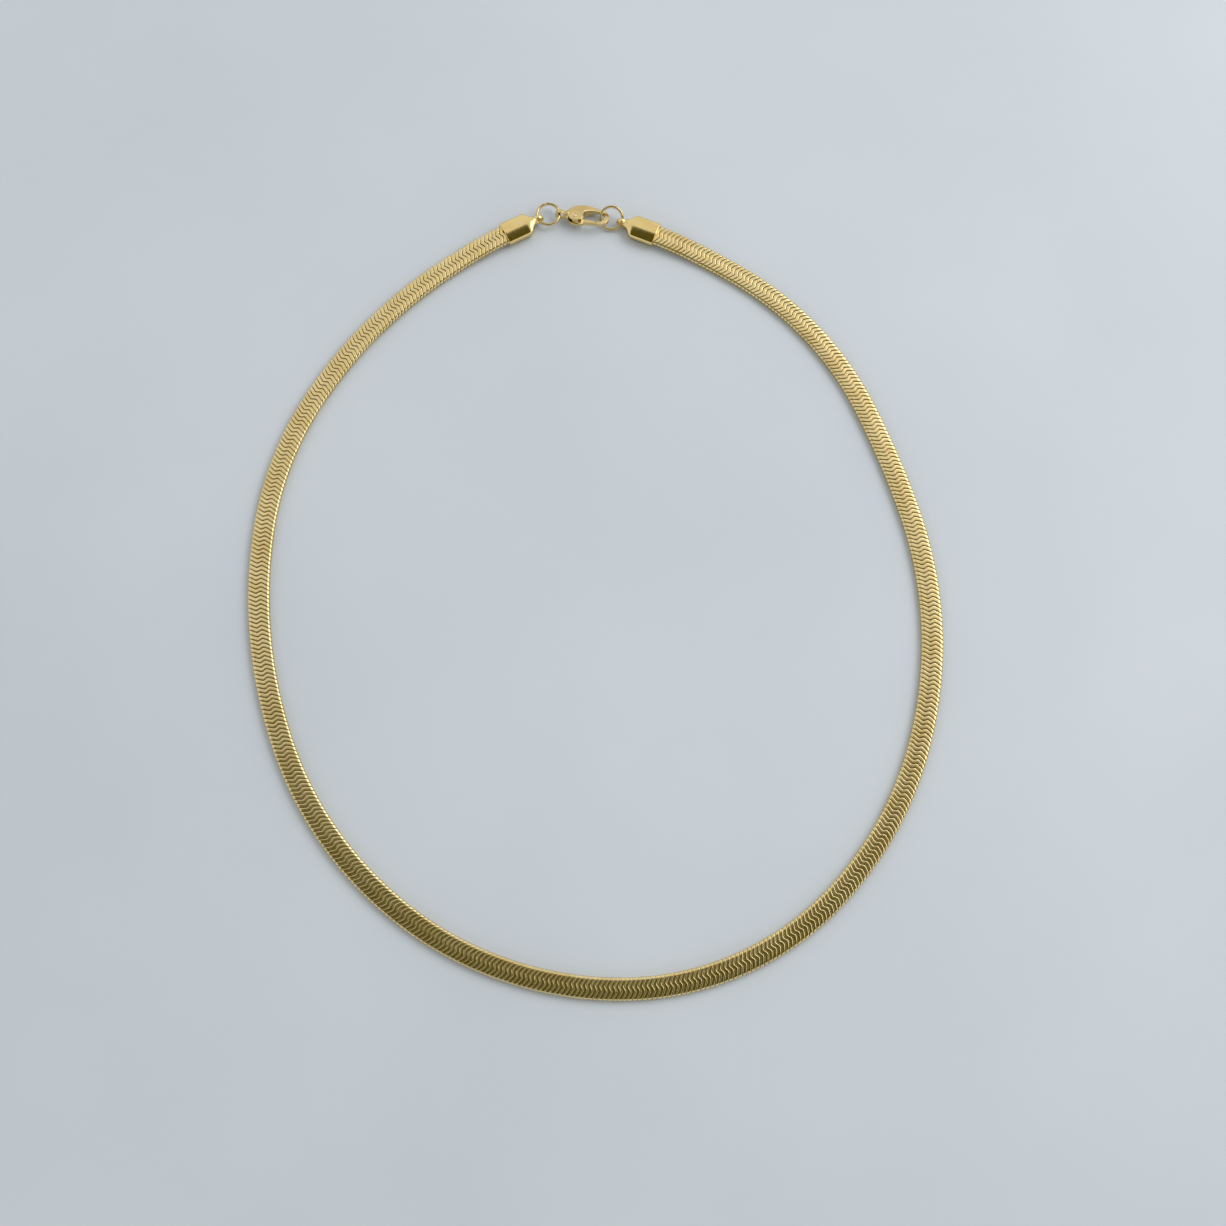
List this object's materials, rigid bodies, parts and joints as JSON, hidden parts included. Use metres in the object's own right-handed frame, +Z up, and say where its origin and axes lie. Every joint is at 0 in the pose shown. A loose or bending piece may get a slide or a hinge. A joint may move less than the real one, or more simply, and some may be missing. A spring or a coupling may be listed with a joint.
{
  "type": "chain necklace",
  "caption": "Flat gold-tone snake chain of zigzag links in a closed loop, with crimped end caps, two jump rings and a lobster clasp.",
  "frame": {"origin": "on the surface that the necklace lies on, below the middle of the loop's bounding box", "axes": "+Z up, +Y from the loop's lowest front link towards the clasp, +X to the wearer's left"},
  "size_m": [0.1279, 0.153, 0.0029],
  "materials": {
    "chain_links": "polished gold-tone plating",
    "end_caps": "polished gold-tone plating",
    "jump_rings": "polished gold-tone plating",
    "clasp": "polished gold-tone plating",
    "clasp_pin": "turned, gold-tone plating",
    "clasp_spring": "bright spring steel"
  },
  "bodies": {
    "front_run": {"chain_front_left": "chain_links", "chain_front_centre": "chain_links", "chain_front_right": "chain_links"},
    "left_run_01": {"chain_left_01": "chain_links"},
    "left_run_02": {"chain_left_02": "chain_links"},
    "left_run_03": {"chain_left_03": "chain_links"},
    "left_run_04": {"chain_left_04": "chain_links"},
    "left_run_05": {"chain_left_05": "chain_links"},
    "left_run_06": {"chain_left_06": "chain_links"},
    "left_run_07": {"chain_left_07": "chain_links"},
    "left_run_08": {"chain_left_08": "chain_links"},
    "left_run_09": {"chain_left_09": "chain_links"},
    "left_run_10": {"chain_left_10": "chain_links"},
    "left_run_11": {"chain_left_11": "chain_links"},
    "left_run_12": {"chain_left_12": "chain_links"},
    "left_run_13": {"chain_left_13": "chain_links"},
    "left_run_14": {"chain_left_14": "chain_links"},
    "left_run_15": {"chain_left_15": "chain_links"},
    "left_run_16": {"chain_left_16": "chain_links"},
    "left_run_17": {"chain_left_17": "chain_links"},
    "left_run_18": {"chain_left_18": "chain_links", "end_cap_left": "end_caps"},
    "right_run_01": {"chain_right_01": "chain_links"},
    "right_run_02": {"chain_right_02": "chain_links"},
    "right_run_03": {"chain_right_03": "chain_links"},
    "right_run_04": {"chain_right_04": "chain_links"},
    "right_run_05": {"chain_right_05": "chain_links"},
    "right_run_06": {"chain_right_06": "chain_links"},
    "right_run_07": {"chain_right_07": "chain_links"},
    "right_run_08": {"chain_right_08": "chain_links"},
    "right_run_09": {"chain_right_09": "chain_links"},
    "right_run_10": {"chain_right_10": "chain_links"},
    "right_run_11": {"chain_right_11": "chain_links"},
    "right_run_12": {"chain_right_12": "chain_links"},
    "right_run_13": {"chain_right_13": "chain_links"},
    "right_run_14": {"chain_right_14": "chain_links"},
    "right_run_15": {"chain_right_15": "chain_links"},
    "right_run_16": {"chain_right_16": "chain_links"},
    "right_run_17": {"chain_right_17": "chain_links"},
    "right_run_18": {"chain_right_18": "chain_links", "end_cap_right": "end_caps"},
    "left_ring": {"jump_ring_left": "jump_rings"},
    "right_ring": {"jump_ring_right": "jump_rings"},
    "clasp": {"clasp_body": "clasp", "clasp_pivot_pin": "clasp_pin", "clasp_spring": "clasp_spring"},
    "lever": {"clasp_lever": "clasp"}
  },
  "joints": [
    {"name": "fold_left_01", "type": "hinge", "parent": "front_run", "child": "left_run_01", "pos_m": [0, -0.06344, 0.00065], "axis": [1, 0, 0], "range_deg": [-9, 9]},
    {"name": "fold_left_02", "type": "hinge", "parent": "left_run_01", "child": "left_run_02", "pos_m": [0, -0.05696, 0.00065], "axis": [1, 0, 0], "range_deg": [-9, 9]},
    {"name": "fold_left_03", "type": "hinge", "parent": "left_run_02", "child": "left_run_03", "pos_m": [0, -0.05009, 0.00065], "axis": [1, 0, 0], "range_deg": [-9, 9]},
    {"name": "fold_left_04", "type": "hinge", "parent": "left_run_03", "child": "left_run_04", "pos_m": [0, -0.04174, 0.00065], "axis": [1, 0, 0], "range_deg": [-9, 9]},
    {"name": "fold_left_05", "type": "hinge", "parent": "left_run_04", "child": "left_run_05", "pos_m": [0, -0.03577, 0.00065], "axis": [1, 0, 0], "range_deg": [-9, 9]},
    {"name": "fold_left_06", "type": "hinge", "parent": "left_run_05", "child": "left_run_06", "pos_m": [0, -0.02798, 0.00065], "axis": [1, 0, 0], "range_deg": [-9, 9]},
    {"name": "fold_left_07", "type": "hinge", "parent": "left_run_06", "child": "left_run_07", "pos_m": [0, -0.02157, 0.00065], "axis": [1, 0, 0], "range_deg": [-9, 9]},
    {"name": "fold_left_08", "type": "hinge", "parent": "left_run_07", "child": "left_run_08", "pos_m": [0, -0.01341, 0.00065], "axis": [1, 0, 0], "range_deg": [-9, 9]},
    {"name": "fold_left_09", "type": "hinge", "parent": "left_run_08", "child": "left_run_09", "pos_m": [0, -0.00683, 0.00065], "axis": [1, 0, 0], "range_deg": [-9, 9]},
    {"name": "fold_left_10", "type": "hinge", "parent": "left_run_09", "child": "left_run_10", "pos_m": [0, -0.00022, 0.00065], "axis": [1, 0, 0], "range_deg": [-9, 9]},
    {"name": "fold_left_11", "type": "hinge", "parent": "left_run_10", "child": "left_run_11", "pos_m": [0, 0.00798, 0.00065], "axis": [1, 0, 0], "range_deg": [-9, 9]},
    {"name": "fold_left_12", "type": "hinge", "parent": "left_run_11", "child": "left_run_12", "pos_m": [0, 0.01446, 0.00065], "axis": [1, 0, 0], "range_deg": [-9, 9]},
    {"name": "fold_left_13", "type": "hinge", "parent": "left_run_12", "child": "left_run_13", "pos_m": [0, 0.02241, 0.00065], "axis": [1, 0, 0], "range_deg": [-9, 9]},
    {"name": "fold_left_14", "type": "hinge", "parent": "left_run_13", "child": "left_run_14", "pos_m": [0, 0.02861, 0.00065], "axis": [1, 0, 0], "range_deg": [-9, 9]},
    {"name": "fold_left_15", "type": "hinge", "parent": "left_run_14", "child": "left_run_15", "pos_m": [0, 0.03609, 0.00065], "axis": [1, 0, 0], "range_deg": [-9, 9]},
    {"name": "fold_left_16", "type": "hinge", "parent": "left_run_15", "child": "left_run_16", "pos_m": [0, 0.04314, 0.00065], "axis": [1, 0, 0], "range_deg": [-9, 9]},
    {"name": "fold_left_17", "type": "hinge", "parent": "left_run_16", "child": "left_run_17", "pos_m": [0, 0.05089, 0.00065], "axis": [1, 0, 0], "range_deg": [-9, 9]},
    {"name": "fold_left_18", "type": "hinge", "parent": "left_run_17", "child": "left_run_18", "pos_m": [0, 0.05772, 0.00065], "axis": [1, 0, 0], "range_deg": [-9, 9]},
    {"name": "fold_right_01", "type": "hinge", "parent": "front_run", "child": "right_run_01", "pos_m": [0, -0.06344, 0.00065], "axis": [1, 0, 0], "range_deg": [-9, 9]},
    {"name": "fold_right_02", "type": "hinge", "parent": "right_run_01", "child": "right_run_02", "pos_m": [0, -0.05696, 0.00065], "axis": [1, 0, 0], "range_deg": [-9, 9]},
    {"name": "fold_right_03", "type": "hinge", "parent": "right_run_02", "child": "right_run_03", "pos_m": [0, -0.05009, 0.00065], "axis": [1, 0, 0], "range_deg": [-9, 9]},
    {"name": "fold_right_04", "type": "hinge", "parent": "right_run_03", "child": "right_run_04", "pos_m": [0, -0.04174, 0.00065], "axis": [1, 0, 0], "range_deg": [-9, 9]},
    {"name": "fold_right_05", "type": "hinge", "parent": "right_run_04", "child": "right_run_05", "pos_m": [0, -0.03577, 0.00065], "axis": [1, 0, 0], "range_deg": [-9, 9]},
    {"name": "fold_right_06", "type": "hinge", "parent": "right_run_05", "child": "right_run_06", "pos_m": [0, -0.02798, 0.00065], "axis": [1, 0, 0], "range_deg": [-9, 9]},
    {"name": "fold_right_07", "type": "hinge", "parent": "right_run_06", "child": "right_run_07", "pos_m": [0, -0.02157, 0.00065], "axis": [1, 0, 0], "range_deg": [-9, 9]},
    {"name": "fold_right_08", "type": "hinge", "parent": "right_run_07", "child": "right_run_08", "pos_m": [0, -0.01341, 0.00065], "axis": [1, 0, 0], "range_deg": [-9, 9]},
    {"name": "fold_right_09", "type": "hinge", "parent": "right_run_08", "child": "right_run_09", "pos_m": [0, -0.00683, 0.00065], "axis": [1, 0, 0], "range_deg": [-9, 9]},
    {"name": "fold_right_10", "type": "hinge", "parent": "right_run_09", "child": "right_run_10", "pos_m": [0, -0.00022, 0.00065], "axis": [1, 0, 0], "range_deg": [-9, 9]},
    {"name": "fold_right_11", "type": "hinge", "parent": "right_run_10", "child": "right_run_11", "pos_m": [0, 0.00798, 0.00065], "axis": [1, 0, 0], "range_deg": [-9, 9]},
    {"name": "fold_right_12", "type": "hinge", "parent": "right_run_11", "child": "right_run_12", "pos_m": [0, 0.01446, 0.00065], "axis": [1, 0, 0], "range_deg": [-9, 9]},
    {"name": "fold_right_13", "type": "hinge", "parent": "right_run_12", "child": "right_run_13", "pos_m": [0, 0.02241, 0.00065], "axis": [1, 0, 0], "range_deg": [-9, 9]},
    {"name": "fold_right_14", "type": "hinge", "parent": "right_run_13", "child": "right_run_14", "pos_m": [0, 0.02861, 0.00065], "axis": [1, 0, 0], "range_deg": [-9, 9]},
    {"name": "fold_right_15", "type": "hinge", "parent": "right_run_14", "child": "right_run_15", "pos_m": [0, 0.03609, 0.00065], "axis": [1, 0, 0], "range_deg": [-9, 9]},
    {"name": "fold_right_16", "type": "hinge", "parent": "right_run_15", "child": "right_run_16", "pos_m": [0, 0.04314, 0.00065], "axis": [1, 0, 0], "range_deg": [-9, 9]},
    {"name": "fold_right_17", "type": "hinge", "parent": "right_run_16", "child": "right_run_17", "pos_m": [0, 0.05089, 0.00065], "axis": [1, 0, 0], "range_deg": [-9, 9]},
    {"name": "fold_right_18", "type": "hinge", "parent": "right_run_17", "child": "right_run_18", "pos_m": [0, 0.05772, 0.00065], "axis": [1, 0, 0], "range_deg": [-9, 9]},
    {"name": "left_ring_swing", "type": "hinge", "parent": "left_run_18", "child": "left_ring", "pos_m": [-0.0111, 0.07304, 0.00125], "axis": [0.4617, -0.887, 0], "range_deg": [0, 6]},
    {"name": "clasp_swing", "type": "hinge", "parent": "left_ring", "child": "clasp", "pos_m": [-0.00677, 0.07405, 0.0015], "axis": [0.4617, -0.887, 0], "range_deg": [-6, 0]},
    {"name": "right_ring_swing", "type": "hinge", "parent": "right_run_18", "child": "right_ring", "pos_m": [0.0052, 0.07237, 0.00125], "axis": [0.3827, 0.9239, 0], "range_deg": [0, 6]},
    {"name": "lever_press", "type": "hinge", "parent": "clasp", "child": "lever", "pos_m": [-0.00396, 0.07301, 0.00169], "axis": [0.028, 0.2573, 0.9659], "range_deg": [0, 18], "stiffness_Nm_per_rad": 0.002, "springref_deg": -20.05, "deforming": ["clasp_spring"]}
  ],
  "couplings": [
    {"joint": "fold_right_01", "follows": "fold_left_01", "ratio": 1},
    {"joint": "fold_right_02", "follows": "fold_left_02", "ratio": 1},
    {"joint": "fold_right_03", "follows": "fold_left_03", "ratio": 1},
    {"joint": "fold_right_04", "follows": "fold_left_04", "ratio": 1},
    {"joint": "fold_right_05", "follows": "fold_left_05", "ratio": 1},
    {"joint": "fold_right_06", "follows": "fold_left_06", "ratio": 1},
    {"joint": "fold_right_07", "follows": "fold_left_07", "ratio": 1},
    {"joint": "fold_right_08", "follows": "fold_left_08", "ratio": 1},
    {"joint": "fold_right_09", "follows": "fold_left_09", "ratio": 1},
    {"joint": "fold_right_10", "follows": "fold_left_10", "ratio": 1},
    {"joint": "fold_right_11", "follows": "fold_left_11", "ratio": 1},
    {"joint": "fold_right_12", "follows": "fold_left_12", "ratio": 1},
    {"joint": "fold_right_13", "follows": "fold_left_13", "ratio": 1},
    {"joint": "fold_right_14", "follows": "fold_left_14", "ratio": 1},
    {"joint": "fold_right_15", "follows": "fold_left_15", "ratio": 1},
    {"joint": "fold_right_16", "follows": "fold_left_16", "ratio": 1},
    {"joint": "fold_right_17", "follows": "fold_left_17", "ratio": 1},
    {"joint": "fold_right_18", "follows": "fold_left_18", "ratio": 1},
    {"joint": "clasp_swing", "follows": "left_ring_swing", "ratio": -1},
    {"joint": "right_ring_swing", "follows": "left_ring_swing", "ratio": 1}
  ]
}
